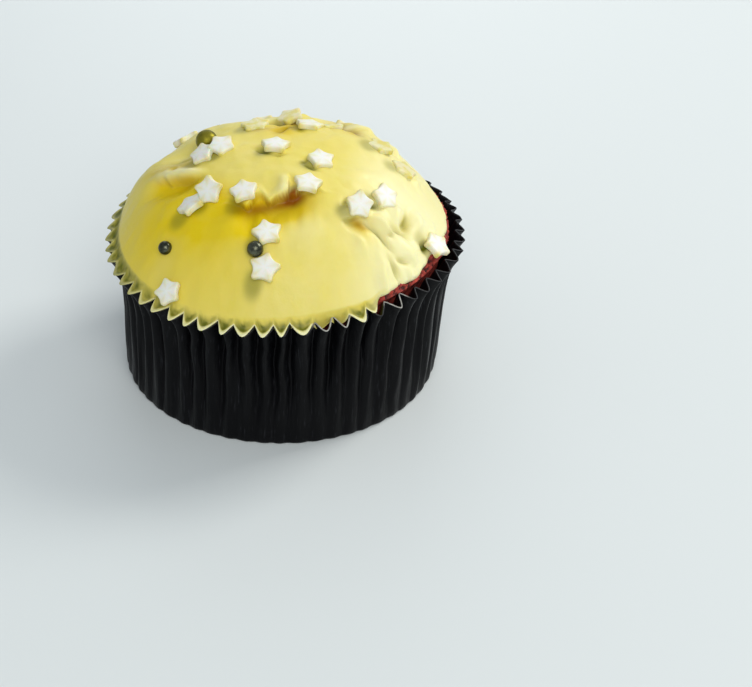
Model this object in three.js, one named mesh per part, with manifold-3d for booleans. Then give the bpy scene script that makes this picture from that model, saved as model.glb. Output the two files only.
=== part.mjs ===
// A cupcake: a pleated paper case, the cake baked in it, and poured icing with the sugar stars and
// pearls that lie on it. Millimetres, +Z up. The base rests on z = 0 and the origin is under the
// centre of the rim. The front is -Y, and azimuths turn from +X towards +Y.
import * as THREE from "three";
import { mergeVertices } from "three/addons/utils/BufferGeometryUtils.js";
import Module from "manifold-3d";

const TURN = 2 * Math.PI;
const GAP = 0.3;

// The paper case. Its cut edge rises to the right, and its rim is a little oval and off the dome's axis.
const CASE_HEIGHT = 29.2;
const RIM_TILT = 1.3;
const RIM_TILT_AZIMUTH = 30;
const RIM_SWAY = 0.7;
const RIM_SWAY_AZIMUTH = -45;
const BASE_RADIUS = 31.2;
const WALL_LEAN = 1.4;
const RIM_FLARE = 2.4;
const CORNER = 0.5;
const WALL_ROWS = [0.03, 0.74, 0.9, 1];
const PLEATS = 56;
const COLUMNS_PER_PLEAT = 4;
const PLEAT_DEPTH_AT_RIM = 2.5;
const PLEAT_DEPTH_AT_BASE = 0.6;
const CREST_DROP = 1.0;
const PAPER = 0.6;
const BASE_SHIFT = -0.45;
const RIM_SHIFT = 0.4;
const OVAL = 0.45;
const OVAL_AZIMUTH = 175;

// The dome of icing, as a flattened half ellipsoid, and the cake under it.
const DOME_RADIUS = 32.8;
const DOME_TOP = 48.3;
const DOME_SQUARENESS = 2.6;
const DOME_ROUNDNESS = 0.92;
const ICING_AT_TOP = 3;
const ICING_AT_EDGE = 1.8;
const ICING_AT_LEAST = 0.7;
const CRUST_GAP = 0.45;
const CAKE_SIDE_CLEARANCE = 0.45;
const CAKE_SIDE_ROWS = [0.07, 0.74, 0.92];
const DOME_COLUMNS = 66;
const ICING_ROWS = 20;
const LINING_ROWS = 8;
const EVEN_SHARE = 0.75;
const FACET_TOLERANCE = 0.02;

// The sector where the icing stops short of the case and the cake shows.
const BARE_AZIMUTH = -10;
const BARE_HALF_WIDTH = 47;
const BARE_FADE = 6;
const BARE_EDGE = 0.85;
const BARE_THINNING = 0.65;

// Scoops under the folds of the icing: place in plan, downhill azimuth, half width, length, depth.
const SCOOPS = [
  { name: "pocket", x: -1.6, y: -14.2, downhill: 270, halfWidth: 7.4, length: 4.4, depth: 2.1 },
  { name: "side fold", x: -20.6, y: -2.2, downhill: 230, halfWidth: 5.4, length: 4.4, depth: 1.6 },
  { name: "pool", x: -12.6, y: -10.6, downhill: 238, halfWidth: 6.0, length: 8.5, depth: 0.9 },
  { name: "star hollow", x: 13.9, y: -16.2, downhill: 300, halfWidth: 2.8, length: 2.6, depth: 0.9 },
  { name: "back fold", x: 11.6, y: 12.6, downhill: 250, halfWidth: 4.6, length: 3.2, depth: 0.8 },
];
const SCOOP_LIP = 0.7;

// Lumps in the icing: place in plan, reach and height.
const LUMPS = [
  { x: 20.4, y: -13.2, reach: 2.4, height: 0.9 },
  { x: 24.0, y: -17.6, reach: 2.7, height: 1.0 },
  { x: 26.8, y: -10.6, reach: 2.2, height: 0.7 },
  { x: 17.0, y: -19.6, reach: 3.0, height: 0.4 },
  { x: 21.6, y: -21.6, reach: 2.0, height: 0.6 },
  { x: 16.0, y: 9.0, reach: 7.0, height: 1.2 },
  { x: 2.0, y: -11.4, reach: 4.2, height: 0.6 },
  { x: -19.2, y: 7.0, reach: 3.4, height: -1.5 },
  { x: -26.0, y: 8.0, reach: 5.0, height: 1.2 },
  { x: -16.0, y: 19.0, reach: 6.0, height: 0.7 },
  { x: 8.0, y: 25.5, reach: 4.0, height: 0.6 },
  { x: -6.0, y: 21.0, reach: 4.5, height: -0.7 },
];

// Sugar stars: place in plan, turn about their own axis, and the lean of that axis from the dome's
// normal towards an azimuth.
const STAR_RADIUS = 3.4;
const STAR_WAIST = 0.55;
const STAR_THICKNESS = 1.3;
const STARS = [
  { x: -13.9, y: -10.6, turn: 6, lean: 32, towards: 262, lift: 1.1 },
  { x: -7.2, y: -13.1, turn: 24, lean: 8, towards: 90, lift: 0.6 },
  { x: -17.6, y: -11.3, turn: 40, lean: 22, towards: 90, lift: 0.3 },
  { x: -15.3, y: 0.6, turn: 15, lean: 14, towards: 235, lift: 0.4 },
  { x: -11.6, y: 1.2, turn: 50, lean: 18, towards: 300, lift: 0.7 },
  { x: -2.9, y: -21.4, turn: 30, lean: 20, towards: 80, lift: 0.5 },
  { x: -3.3, y: -26.4, turn: 2, lean: 12, towards: 90, lift: 0.6 },
  { x: -20.9, y: -23.5, turn: 20, lean: -14, towards: 228, lift: 1.0 },
  { x: -1.4, y: -0.4, turn: 10, lean: 6, towards: 80, lift: 0.4 },
  { x: 7.3, y: -4.6, turn: 33, lean: 6, towards: 330, lift: 0.35 },
  { x: 4.7, y: -12.3, turn: 12, lean: 10, towards: 80, lift: 0.5 },
  { x: 14.1, y: -14.7, turn: 22, lean: 24, towards: 262, lift: 0.8 },
  { x: 19.1, y: -10.4, turn: 40, lean: 12, towards: 280, lift: 0.5 },
  { x: 28.7, y: -12.4, turn: 60, lean: -18, towards: 340, lift: 0.9 },
  { x: -5.4, y: 9.6, turn: 20, lean: 6, towards: 270, lift: 0.2 },
  { x: 1.4, y: 13.6, turn: 44, lean: 24, towards: 200, lift: 0.5 },
  { x: 5.2, y: 9.4, turn: 8, lean: 5, towards: 60, lift: 0.35 },
  { x: 9.6, y: 12.4, turn: 28, lean: 12, towards: 160, lift: 0.3 },
  { x: 18.6, y: 5.6, turn: 52, lean: 12, towards: 200, lift: 0.0 },
  { x: 23.4, y: 2.4, turn: 16, lean: 8, towards: 180, lift: 0.0 },
];
const BACK_STARS = 7;
const BACK_STARS_FROM = 62;
const BACK_STARS_SPREAD = 84;
const BACK_STARS_RADIUS = 27.0;
const BACK_STARS_STEP = 1.5;

// Sugar pearls: place in plan, radius and how far they stand proud of the icing.
const PEARLS = [
  { x: -5.0, y: -23.7, radius: 1.55, proud: 0.75 },
  { x: -22.1, y: -16.6, radius: 1.35, proud: 0.35 },
  { x: -14.5, y: 5.2, radius: 2.15, proud: 0.9 },
  { x: 15.2, y: 24.2, radius: 1.55, proud: 0.8 },
  { x: -12.6, y: 26.0, radius: 1.4, proud: 0.6 },
];

const wasm = await Module();
wasm.setup();

const radians = (degrees) => (degrees * Math.PI) / 180;
const mix = (from, to, share) => from + (to - from) * share;

function smooth(from, to, value) {
  const share = Math.min(1, Math.max(0, (value - from) / (to - from)));
  return share * share * (3 - 2 * share);
}

// The angle between two azimuths, from 0 to half a turn.
function apart(azimuth, other) {
  const turns = Math.abs(azimuth - other) % TURN;
  return Math.min(turns, TURN - turns);
}

// A LatheGeometry about Z instead of Y.
function latheAboutZ(profile, columns) {
  const points = profile.map(([radius, height]) => new THREE.Vector2(radius, height));
  return new THREE.LatheGeometry(points, columns).rotateX(Math.PI / 2);
}

// Moves each vertex of a geometry, whose shared vertices are merged first, to where place(vertex) says.
function shaped(geometry, place) {
  const merged = positionsOnly(geometry);
  const position = merged.getAttribute("position");
  const vertex = new THREE.Vector3();
  for (let i = 0; i < position.count; i++) {
    vertex.fromBufferAttribute(position, i);
    const moved = place(vertex);
    position.setXYZ(i, moved.x, moved.y, moved.z);
  }
  return merged;
}

function positionsOnly(geometry) {
  const copy = geometry.clone();
  copy.deleteAttribute("normal");
  copy.deleteAttribute("uv");
  return mergeVertices(copy, 1e-4);
}

function solidOf(geometry) {
  const merged = positionsOnly(geometry);
  return new wasm.Manifold(
    new wasm.Mesh({
      numProp: 3,
      vertProperties: merged.getAttribute("position").array,
      triVerts: new Uint32Array(merged.index.array),
    }),
  );
}

function geometryOf(solid) {
  const mesh = solid.getMesh();
  return new THREE.BufferGeometry()
    .setAttribute("position", new THREE.BufferAttribute(mesh.vertProperties, 3))
    .setIndex(new THREE.BufferAttribute(mesh.triVerts, 1));
}

// The height of the case's cut edge.
function rimHeight(azimuth) {
  const tilt = RIM_TILT * Math.cos(azimuth - radians(RIM_TILT_AZIMUTH));
  return CASE_HEIGHT + tilt + RIM_SWAY * Math.cos(2 * (azimuth - radians(RIM_SWAY_AZIMUTH)));
}

const oval = (azimuth) => OVAL * Math.cos(2 * (azimuth - radians(OVAL_AZIMUTH)));
const shiftAt = (share) => mix(BASE_SHIFT, RIM_SHIFT, Math.sqrt(share));
const crestRadius = (share) => BASE_RADIUS + WALL_LEAN * share + RIM_FLARE * share ** 8;
const pleatDepth = (share) => mix(PLEAT_DEPTH_AT_BASE, PLEAT_DEPTH_AT_RIM, share);

// Distance of the case's middle surface from its axis, and how far out its pleats stand there.
function wallPoint(share, azimuth, inwards) {
  const wave = Math.cos(PLEATS * (azimuth + TURN / 4));
  const radius = crestRadius(share) - (pleatDepth(share) / 2) * (1 - wave) + oval(azimuth) * share;
  const drop = CREST_DROP * share * share * (0.5 + wave / 2);
  return new THREE.Vector3(
    (radius - inwards) * Math.cos(azimuth) + shiftAt(share),
    (radius - inwards) * Math.sin(azimuth),
    share * rimHeight(azimuth) - drop,
  );
}

// The case: a disc with a turned-up wall. In the profile the wall's heights are shares, offset by 1,
// and its radii are distances inwards from the wall's face, offset by 1.
function caseGeometry() {
  const floorRadius = BASE_RADIUS - PLEAT_DEPTH_AT_BASE / 2 - CORNER;
  const profile = [[0, 0], [floorRadius / 100, 0]];
  for (const share of WALL_ROWS) profile.push([1, 1 + share]);
  for (const share of [...WALL_ROWS].reverse()) profile.push([1 + PAPER, 1 + share]);
  profile.push([(floorRadius - CORNER) / 100, PAPER], [0, PAPER]);
  return shaped(latheAboutZ(profile, PLEATS * COLUMNS_PER_PLEAT), (vertex) => {
    const radius = Math.hypot(vertex.x, vertex.y);
    const azimuth = Math.atan2(vertex.y, vertex.x);
    if (vertex.z > 1) return wallPoint(vertex.z - 1, azimuth, radius - 1);
    const floor = 100 * radius;
    return new THREE.Vector3(
      floor * Math.cos(azimuth) + BASE_SHIFT,
      floor * Math.sin(azimuth),
      vertex.z,
    );
  });
}

// Height of the icing's folds above the plain dome, negative in the scoops, at a place in plan.
function relief(x, y) {
  let height = 0;
  for (const lump of LUMPS) {
    const distance = Math.hypot(x - lump.x, y - lump.y) / lump.reach;
    height += lump.height * Math.exp(-distance * distance);
  }
  for (const scoop of SCOOPS) height -= scoop.depth * scoopShare(scoop, x, y);
  return height;
}

// 1 at the foot of a scoop's lip, fading downhill and to its sides, and 0 uphill of the lip.
function scoopShare(scoop, x, y) {
  const downhill = radians(scoop.downhill);
  const along = (x - scoop.x) * Math.cos(downhill) + (y - scoop.y) * Math.sin(downhill);
  const across = -(x - scoop.x) * Math.sin(downhill) + (y - scoop.y) * Math.cos(downhill);
  const side = Math.exp(-Math.pow(across / scoop.halfWidth, 4));
  const fade = along > 0 ? Math.exp(-Math.pow(along / scoop.length, 2)) : 1;
  return smooth(-SCOOP_LIP, SCOOP_LIP, along) * side * fade;
}

const domeFoot = (azimuth) => rimHeight(azimuth) + GAP;

// A point of the plain dome's half section: radius and height, for a share from 0 at the top to 1.
function domeSection(share, azimuth) {
  const sine = Math.sin((share * Math.PI) / 2);
  const rise = Math.pow(Math.max(0, 1 - Math.pow(sine, DOME_SQUARENESS)), DOME_ROUNDNESS);
  return new THREE.Vector2(DOME_RADIUS * sine, mix(domeFoot(azimuth), DOME_TOP, rise));
}

function domeNormal(share, azimuth) {
  const step = 0.01;
  if (share < step) return new THREE.Vector2(0, 1);
  if (share > 1 - step) return new THREE.Vector2(1, 0);
  const along = domeSection(share + step, azimuth).sub(domeSection(share - step, azimuth));
  return new THREE.Vector2(-along.y, along.x).normalize();
}

const icingThickness = (share) => mix(ICING_AT_TOP, ICING_AT_EDGE, share * share);

// 1 in the bare sector and 0 outside it.
function bareShare(azimuth) {
  const away = apart(azimuth, radians(BARE_AZIMUTH));
  return 1 - smooth(radians(BARE_HALF_WIDTH - BARE_FADE), radians(BARE_HALF_WIDTH + BARE_FADE), away);
}

// The share of the dome at which the icing ends, at an azimuth.
function icingEdge(azimuth) {
  const ripple = 0.012 * Math.cos(7 * azimuth) + 0.01 * Math.cos(11 * azimuth + 1);
  return mix(1, BARE_EDGE + ripple, bareShare(azimuth));
}

// A point lifted from the dome's face along its normal, but never below the dome's foot.
function onDome(share, azimuth, lift) {
  const section = domeSection(share, azimuth);
  const normal = domeNormal(share, azimuth);
  const radius = Math.max(0, section.x + lift * normal.x);
  return new THREE.Vector3(
    radius * Math.cos(azimuth),
    radius * Math.sin(azimuth),
    Math.max(domeFoot(azimuth), section.y + lift * normal.y),
  );
}

// The relief at a share of the dome. It fades towards the foot, where the case is, and leaves the
// icing its least thickness.
function reliefOnDome(share, azimuth) {
  const radius = domeSection(share, azimuth).x;
  const fade = 1 - smooth(0.86, 0.97, share);
  const height = fade * relief(radius * Math.cos(azimuth), radius * Math.sin(azimuth));
  return Math.max(height, ICING_AT_LEAST - icingThickness(share));
}

// The icing: a flat plate of revolution, wrapped over the dome. In the plate, the radius is the share
// of the dome, and the height is 1 for the face, 0 for the lining and 0.5 for the rounded edge.
function icingShell() {
  const plate = [];
  for (let row = 0; row <= LINING_ROWS; row++) plate.push([row / LINING_ROWS, 0]);
  plate.push([1.012, 0.5]);
  for (let row = ICING_ROWS; row >= 0; row--) plate.push([row / ICING_ROWS, 1]);
  return shaped(latheAboutZ(plate, DOME_COLUMNS), (vertex) => {
    const azimuth = Math.atan2(vertex.y, vertex.x);
    const plain = Math.hypot(vertex.x, vertex.y);
    const outside = Math.max(0, plain - EVEN_SHARE) / (1 - EVEN_SHARE);
    const share = Math.min(plain, EVEN_SHARE) + outside * (icingEdge(azimuth) - EVEN_SHARE);
    const face = reliefOnDome(Math.min(1, share), azimuth);
    const thinned = mix(1, BARE_THINNING, bareShare(azimuth) * plain * plain);
    const lining = -thinned * icingThickness(Math.min(1, share));
    return onDome(share, azimuth, mix(lining, face, vertex.z));
  });
}

// The icing that runs out into one pleat: a wedge that narrows, thins and falls towards the crest.
const TONGUE = { reach: 2.1, halfWidth: 1.05, clearance: 0.8, depth: 1.2, top: 0.9, fall: 0.75, taper: 0.35 };

function tongue(azimuth) {
  const plan = new THREE.Shape();
  plan.moveTo(0, -TONGUE.halfWidth);
  plan.lineTo(TONGUE.reach, 0);
  plan.lineTo(0, TONGUE.halfWidth);
  plan.closePath();
  const tip = crestRadius(1) + oval(azimuth) - PAPER - TONGUE.clearance;
  const wedge = new THREE.ExtrudeGeometry(plan, { depth: TONGUE.depth, bevelEnabled: false });
  const placed = shaped(wedge, (vertex) => {
    const below = TONGUE.depth - vertex.z;
    const out = vertex.x * (1 - (TONGUE.taper * below) / TONGUE.depth);
    const height = rimHeight(azimuth) + TONGUE.top - below - TONGUE.fall * vertex.x;
    return new THREE.Vector3(tip - TONGUE.reach + out, vertex.y, height);
  });
  return placed.rotateZ(azimuth).translate(RIM_SHIFT, 0, 0);
}

function starGeometry() {
  const outline = new THREE.Shape();
  for (let i = 0; i < 10; i++) {
    const radius = i % 2 === 0 ? STAR_RADIUS : STAR_RADIUS * STAR_WAIST;
    const angle = (i / 10) * TURN;
    const at = [radius * Math.cos(angle), radius * Math.sin(angle)];
    if (i === 0) outline.moveTo(...at);
    else outline.lineTo(...at);
  }
  outline.closePath();
  return new THREE.ExtrudeGeometry(outline, { depth: STAR_THICKNESS, bevelEnabled: false });
}

// The share of the dome whose plain section has a radius.
const shareAt = (radius) => (Math.asin(Math.min(1, radius / DOME_RADIUS)) * 2) / Math.PI;

// The icing's face and its normal at a place in plan.
function faceAt(x, y) {
  const azimuth = Math.atan2(y, x);
  const share = shareAt(Math.hypot(x, y));
  const normal = domeNormal(share, azimuth);
  return {
    point: onDome(share, azimuth, reliefOnDome(share, azimuth)),
    normal: new THREE.Vector3(
      normal.x * Math.cos(azimuth),
      normal.x * Math.sin(azimuth),
      normal.y,
    ),
  };
}

function placedStar({ x, y, turn, lean, towards, lift }) {
  const { point, normal } = faceAt(x, y);
  const towardsAzimuth = radians(towards);
  const hinge = new THREE.Vector3(-Math.sin(towardsAzimuth), Math.cos(towardsAzimuth), 0);
  const axis = normal.clone().applyAxisAngle(hinge, radians(lean));
  const upright = new THREE.Quaternion().setFromUnitVectors(new THREE.Vector3(0, 0, 1), axis);
  const seat = point.addScaledVector(normal, lift).addScaledVector(axis, -STAR_THICKNESS / 2);
  const placed = new THREE.Matrix4().compose(seat, upright, new THREE.Vector3(1, 1, 1));
  return starGeometry().rotateZ(radians(turn)).applyMatrix4(placed);
}

// Stars on the back, set round it by equal steps and alternately high and low.
function backStars() {
  const stars = [];
  for (let i = 0; i < BACK_STARS; i++) {
    const azimuth = radians(BACK_STARS_FROM + (i * BACK_STARS_SPREAD) / BACK_STARS);
    const radius = BACK_STARS_RADIUS + BACK_STARS_STEP * ((i * 2) % 3);
    const [x, y] = [radius * Math.cos(azimuth), radius * Math.sin(azimuth)];
    stars.push({ x, y, turn: 31 * i, lean: 7, towards: 50 * i, lift: 0.35 });
  }
  return stars;
}

function placedPearl({ x, y, radius, proud }) {
  const { point, normal } = faceAt(x, y);
  const centre = point.addScaledVector(normal, proud);
  return new THREE.IcosahedronGeometry(radius, 1).translate(centre.x, centre.y, centre.z);
}

function icingGeometry() {
  const pieces = [solidOf(icingShell())];
  for (let i = 0; i < PLEATS; i++) {
    const azimuth = (i * TURN) / PLEATS - TURN / 4;
    if (icingEdge(azimuth) > 0.99) pieces.push(solidOf(tongue(azimuth)));
  }
  for (const star of [...STARS, ...backStars()]) pieces.push(solidOf(placedStar(star)));
  for (const pearl of PEARLS) pieces.push(solidOf(placedPearl(pearl)));
  const whole = pieces.reduce((sum, piece) => sum.add(piece)).simplify(FACET_TOLERANCE);
  return geometryOf(whole.decompose().sort((one, other) => other.volume() - one.volume())[0]);
}

// The cake: it fills the case up to the foot of the dome, and its crust lies under the icing. In the
// profile the side's heights are shares of the case's, offset by 1, and the crust's radii are shares.
function cakeGeometry() {
  const floor = PAPER + GAP;
  const profile = [[0, 0], [0.3, 0]];
  for (const share of CAKE_SIDE_ROWS) profile.push([1, 1 + share]);
  for (let row = LINING_ROWS; row >= 0; row--) profile.push([row / LINING_ROWS, 3]);
  return shaped(latheAboutZ(profile, DOME_COLUMNS), (vertex) => {
    const radius = Math.hypot(vertex.x, vertex.y);
    const azimuth = Math.atan2(vertex.y, vertex.x);
    if (vertex.z > 2) return onDome(radius, azimuth, -icingThickness(radius) - CRUST_GAP);
    if (vertex.z < 1) {
      const rim = (radius / 0.3) * (sideRadius(0, azimuth) - CORNER);
      return new THREE.Vector3(rim * Math.cos(azimuth) + BASE_SHIFT, rim * Math.sin(azimuth), floor);
    }
    const share = vertex.z - 1;
    const side = sideRadius(share, azimuth);
    return new THREE.Vector3(
      side * Math.cos(azimuth) + shiftAt(share),
      side * Math.sin(azimuth),
      share * rimHeight(azimuth),
    );
  });
}

// Radius of the cake's side, clear of the case's inward folds.
function sideRadius(share, azimuth) {
  const fold = crestRadius(share) - pleatDepth(share) + oval(azimuth) * share;
  return fold - PAPER - CAKE_SIDE_CLEARANCE;
}

function part(name, geometry, color, roughness, metalness = 0) {
  const mesh = new THREE.Mesh(
    geometry,
    new THREE.MeshStandardMaterial({ color, roughness, metalness }),
  );
  mesh.name = name;
  return mesh;
}

const cupcake = new THREE.Group();
cupcake.add(part("paper_case", caseGeometry(), 0x0b0b0d, 0.45));
cupcake.add(part("cake", cakeGeometry(), 0x4a140e, 0.9));
cupcake.add(part("icing", icingGeometry(), 0xe9dc7d, 0.35));
cupcake.position.x = -RIM_SHIFT;

export default cupcake;
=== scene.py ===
"""The looks of a cupcake in its pleated paper case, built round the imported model.

Sizes are in millimetres and degrees until a mesh is made, where they become metres. Places in plan are
measured from the axis of the icing's dome, as in the model's source, and azimuths turn from +X to +Y.
"""

import logging
import math
import random
from collections.abc import Callable
from dataclasses import dataclass
from enum import Enum

import bmesh
import bpy
from mathutils import Matrix, Vector, noise


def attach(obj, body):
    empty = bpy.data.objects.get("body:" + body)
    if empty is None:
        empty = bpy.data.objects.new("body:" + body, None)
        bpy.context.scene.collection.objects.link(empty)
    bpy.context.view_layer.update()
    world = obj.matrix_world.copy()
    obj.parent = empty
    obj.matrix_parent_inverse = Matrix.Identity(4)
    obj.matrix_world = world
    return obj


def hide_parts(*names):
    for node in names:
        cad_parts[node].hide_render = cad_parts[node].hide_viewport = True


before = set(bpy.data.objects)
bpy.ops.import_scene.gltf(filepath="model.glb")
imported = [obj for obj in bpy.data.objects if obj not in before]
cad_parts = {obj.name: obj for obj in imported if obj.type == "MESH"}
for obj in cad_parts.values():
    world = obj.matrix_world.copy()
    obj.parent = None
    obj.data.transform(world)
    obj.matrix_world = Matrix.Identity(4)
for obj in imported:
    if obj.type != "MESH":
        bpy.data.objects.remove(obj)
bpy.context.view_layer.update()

LOG = logging.getLogger("cupcake")
MM = 0.001
TURN = 2 * math.pi
Colour = tuple[float, float, float]
Placed = tuple[Vector, tuple[float, ...]]
Socket = bpy.types.NodeSocket
Inputs = dict[str | int, object]
# No painted colour on the icing: no tint, painted shade or painted light.
UNTINTED = (0, 0, 0, 0)


def mix(start: float, end: float, share: float) -> float:
    """The number a share of the way from start to end."""
    return start + (end - start) * share


def smooth(low: float, high: float, value: float) -> float:
    """0 below low, 1 above high, with a soft step between them."""
    share = min(1.0, max(0.0, (value - low) / (high - low)))
    return share * share * (3 - 2 * share)


def near(azimuth: float, middle: float, full: float, none: float) -> float:
    """1 up to full degrees from a middle azimuth in degrees, and 0 from none degrees on."""
    turns = abs(azimuth - math.radians(middle)) % TURN
    return 1 - smooth(full, none, math.degrees(min(turns, TURN - turns)))


def bell(value: float, middle: float, width: float, power: int = 2) -> float:
    """1 at the middle, falling softly to 0 about a width away from it."""
    return math.exp(-(((value - middle) / width) ** power))


def swell(x: float, y: float, z: float) -> float:
    """Smooth noise at a place, from about -1 to 1."""
    return noise.noise(Vector((x, y, z)))


def srgb(red: int, green: int, blue: int) -> Colour:
    """A linear colour from the 0 to 255 numbers that a picture shows."""
    shares = [channel / 255 for channel in (red, green, blue)]
    return tuple(s / 12.92 if s <= 0.04045 else ((s + 0.055) / 1.055) ** 2.4 for s in shares)


@dataclass(frozen=True)
class Column:
    """What the case, the cake and the icing share along one line from the top down.

    Args:
        azimuth: Direction from the axis, in radians.
        rim: Height of the case's cut edge, before its pleats lower it.
        oval: How far the rim stands out or in here, as it is a little oval.
        fold: 0 on a pleat's crest and 1 in the fold between two.
        depth: Depth of the pleats at the rim.
        bare: 1 where the icing stops short of the case.
        edge: Share of the dome at which the icing ends there.
        flow: How far the icing runs out into the pleats, from 0 to 1.
    """

    azimuth: float
    rim: float
    oval: float
    fold: float
    depth: float
    bare: float
    edge: float
    flow: float


@dataclass(frozen=True)
class Form:
    """The sizes of the case and the dome.

    They are as in the model's source, but for the softer pleats at the base and the rim's tuck on the left.
    """

    case_height: float = 29.2
    rim_tilt: float = 1.3
    rim_tilt_azimuth: float = 30
    rim_sway: float = 0.7
    rim_sway_azimuth: float = -45
    base_radius: float = 31.2
    wall_lean: float = 1.4
    rim_flare: float = 2.4
    pleats: int = 56
    depth_at_rim: float = 2.5
    depth_at_base: float = 0.25
    crest_drop: float = 1.0
    base_shift: float = -0.45
    rim_shift: float = 0.4
    oval: float = 0.45
    oval_azimuth: float = 175
    left_tuck: float = 0.55
    vee_power: float = 1.8
    vee_share: float = 0.6
    dome_radius: float = 32.8
    dome_top: float = 48.3
    squareness: float = 2.6
    roundness: float = 0.92
    icing_at_top: float = 3.0
    icing_at_edge: float = 1.8
    gap: float = 0.3
    short_azimuth: float = -74
    bare_azimuth: float = -10
    bare_half_width: float = 47
    bare_fade: float = 6
    bare_edge: float = 0.832

    def rim_height(self, azimuth: float) -> float:
        """Height of the case's cut edge."""
        tilt = self.rim_tilt * math.cos(azimuth - math.radians(self.rim_tilt_azimuth))
        sway = self.rim_sway * math.cos(2 * (azimuth - math.radians(self.rim_sway_azimuth)))
        return self.case_height + tilt + sway

    def bare_share(self, azimuth: float) -> float:
        """1 in the sector where the cake shows, and 0 outside it."""
        half, fade = self.bare_half_width, self.bare_fade
        return near(azimuth, self.bare_azimuth, half - fade, half + fade)

    def flow_share(self, azimuth: float) -> float:
        """How far the icing runs out into the pleats: fully in front, less on the left and back."""
        left, back = near(azimuth, 175, 20, 46), near(azimuth, 95, 40, 70)
        short = near(azimuth, self.short_azimuth, 4, 7.5)
        return (1 - 0.08 * left - 0.35 * back * (1 - left)) * (1 - short)

    def green_share(self, azimuth: float) -> float:
        """How green the icing in the pleats is, most on the left: thin icing over dark paper, and painted
        shade.
        """
        return near(azimuth, 180, 15, 75)

    def worn_share(self, azimuth: float) -> float:
        """Where the paper's pale core shows along its cut edge."""
        spots = ((self.short_azimuth, 7.5), (-51, 5.0))
        return max(near(azimuth, middle, 0.7 * width, width) for middle, width in spots)

    def phase(self, azimuth: float) -> float:
        """Uneven turn of the pleats' wave, 0 on a crest."""
        uneven = 0.34 * math.cos(13 * azimuth + 1) + 0.28 * math.cos(23 * azimuth + 4)
        return self.pleats * (azimuth + TURN / 4) + uneven + 0.22 * math.cos(37 * azimuth)

    def columns(self, per_pleat: int) -> list[Column]:
        """Columns all round, with one on each crest and each fold, the first repeated at the end.

        Args:
            per_pleat: Number of columns in each pleat.

        Returns:
            One more column than there are pleats times per_pleat.
        """
        made = []
        count = self.pleats * per_pleat
        for index in range(count):
            wanted = TURN * index / per_pleat
            azimuth = wanted / self.pleats - TURN / 4
            for _ in range(12):
                azimuth -= (self.phase(azimuth) - wanted) / self.pleats
            made.append(self.column(azimuth, wanted))
        return made + made[:1]

    def column(self, azimuth: float, phase: float) -> Column:
        """The column at an azimuth.

        Args:
            azimuth: Direction from the axis, in radians.
            phase: Turn of the pleats' wave there.

        Returns:
            The column's own numbers.
        """
        turned = (phase + math.pi) % TURN - math.pi
        vee = abs(turned / math.pi) ** self.vee_power
        uneven = 1 + 0.1 * math.cos(17 * azimuth + 2) + 0.09 * math.cos(29 * azimuth)
        uneven *= 1 - 0.3 * near(azimuth, 15, 25, 70) - 0.35 * near(azimuth, 180, 10, 50)
        tuck = self.left_tuck * near(azimuth, 180, 15, 75)
        ripple = 0.012 * math.cos(7 * azimuth) + 0.008 * math.cos(11 * azimuth + 1)
        crumbly = 0.03 * swell(9 * math.cos(azimuth), 9 * math.sin(azimuth), 3)
        return Column(
            azimuth=azimuth,
            rim=self.rim_height(azimuth),
            oval=self.oval * math.cos(2 * (azimuth - math.radians(self.oval_azimuth))) - tuck,
            fold=mix((1 - math.cos(turned)) / 2, vee, self.vee_share),
            depth=self.depth_at_rim * uneven,
            bare=self.bare_share(azimuth),
            edge=self.bare_edge + ripple + crumbly,
            flow=self.flow_share(azimuth),
        )

    def crest_radius(self, share: float) -> float:
        """Radius of the case to the crests of its pleats, at a share of its height."""
        return self.base_radius + self.wall_lean * share + self.rim_flare * share**8

    def shift_at(self, share: float) -> float:
        """How far the case is off the dome's axis, at a share of its height."""
        return mix(self.base_shift, self.rim_shift, math.sqrt(share))

    def wall_radius(self, share: float, column: Column) -> float:
        """Radius of the case's outer face, at a share of its height."""
        depth = mix(self.depth_at_base, column.depth, share)
        return self.crest_radius(share) - depth * column.fold + column.oval * share

    def rim_edge(self, column: Column) -> float:
        """Height of the case's cut edge, lower on the crests."""
        return column.rim - self.crest_drop * (1 - column.fold)

    def section(self, share: float, rim: float) -> tuple[float, float]:
        """Radius and height of the plain dome, at a share from 0 at the top to 1 at the foot."""
        sine = math.sin(share * math.pi / 2)
        rise = max(0.0, 1 - sine**self.squareness) ** self.roundness
        return self.dome_radius * sine, mix(rim + self.gap, self.dome_top, rise)

    def normal(self, share: float, rim: float) -> tuple[float, float]:
        """Outward direction of the plain dome's section, as radial and upward parts."""
        step = 0.01
        if share < step:
            return 0.0, 1.0
        low = self.section(min(1.0, share + step), rim)
        high = self.section(min(1.0, share + step) - 2 * step, rim)
        out, down = low[0] - high[0], high[1] - low[1]
        length = math.hypot(out, down)
        return down / length, out / length

    def icing_thickness(self, share: float) -> float:
        """Thickness of the icing at a share of the dome."""
        return mix(self.icing_at_top, self.icing_at_edge, share * share)

    def share_at(self, radius: float) -> float:
        """The share of the plain dome that has a radius."""
        return math.asin(min(1.0, radius / self.dome_radius)) * 2 / math.pi

    def place(self, radius: float, azimuth: float, height: float) -> Vector:
        """A point in the shared frame, whose origin is under the middle of the case's rim."""
        return Vector((radius * math.cos(azimuth) - self.rim_shift, radius * math.sin(azimuth), height))

    def on_case(self, share: float, radius: float, azimuth: float, height: float) -> Vector:
        """A point measured from the case's own axis, at a share of the case's height."""
        return self.place(radius, azimuth, height) + Vector((self.shift_at(share), 0, 0))


@dataclass(frozen=True)
class Lump:
    """A rounded rise in the icing, or a dent where its height is negative.

    Its cut is the squared distance, in reaches, past which it adds nothing.
    """

    x: float
    y: float
    reach: float
    height: float
    cut: float = 7

    def at(self, x: float, y: float) -> float:
        """Its height at a place in plan."""
        distance = ((x - self.x) ** 2 + (y - self.y) ** 2) / self.reach**2
        return self.height * math.exp(-distance) if distance < self.cut else 0.0


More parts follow.
